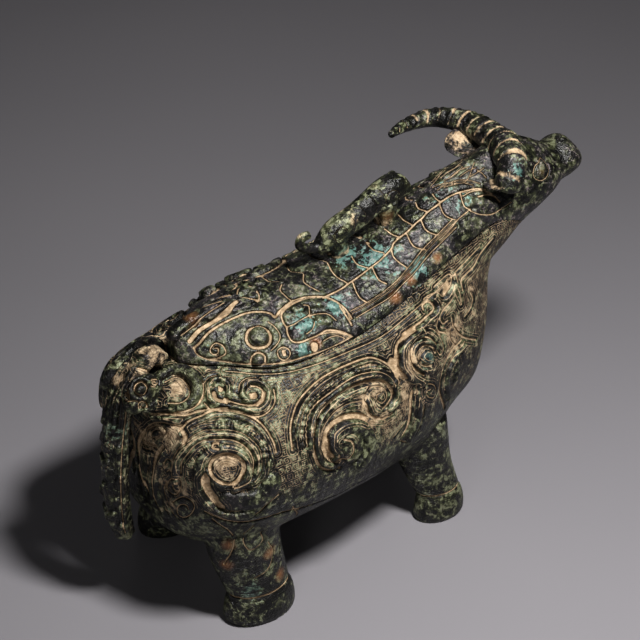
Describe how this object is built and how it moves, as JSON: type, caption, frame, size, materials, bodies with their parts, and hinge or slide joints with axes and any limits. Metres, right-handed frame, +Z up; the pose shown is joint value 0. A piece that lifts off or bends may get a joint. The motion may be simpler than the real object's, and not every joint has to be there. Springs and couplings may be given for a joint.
{
  "type": "incense burner",
  "caption": "Lidded bronze burner in the shape of a standing ox: the body is the bowl, and the back, neck and head lift off as a lid with a small tiger knob.",
  "frame": {"origin": "on the floor, under the middle of the object's bounding box", "axes": "+X runs from tail to muzzle, +Y to the ox's left, +Z up"},
  "size_m": [0.1934, 0.0822, 0.1344],
  "materials": {
    "body_bronze": "aged bronze: near-black olive and green patina, ochre earth in the grooves",
    "lid_bronze": "aged bronze: dark grey-purple plates with green and turquoise patina, tan grooves",
    "knob_bronze": "aged bronze: worn olive green with ochre hollows",
    "horn_bronze": "aged bronze: dark ringed horn with tan grooves and pale green patches"
  },
  "bodies": {
    "vessel": {"vessel_shell": "body_bronze", "tail": "body_bronze", "leg_rear_right": "body_bronze", "leg_rear_left": "body_bronze", "leg_front_right": "body_bronze", "leg_front_left": "body_bronze", "rump_mask_right": "body_bronze", "rump_mask_left": "body_bronze"},
    "lid": {"lid_shell": "lid_bronze", "lid_locating_lip": "lid_bronze", "ox_head": "lid_bronze", "tiger_knob": "knob_bronze", "horn_right": "horn_bronze", "horn_left": "horn_bronze", "ear_right": "lid_bronze", "ear_left": "lid_bronze"}
  },
  "joints": [
    {"name": "lid_lift", "type": "slide", "parent": "vessel", "child": "lid", "axis": [0, 0, 1], "range_m": [0, 0.12]}
  ]
}
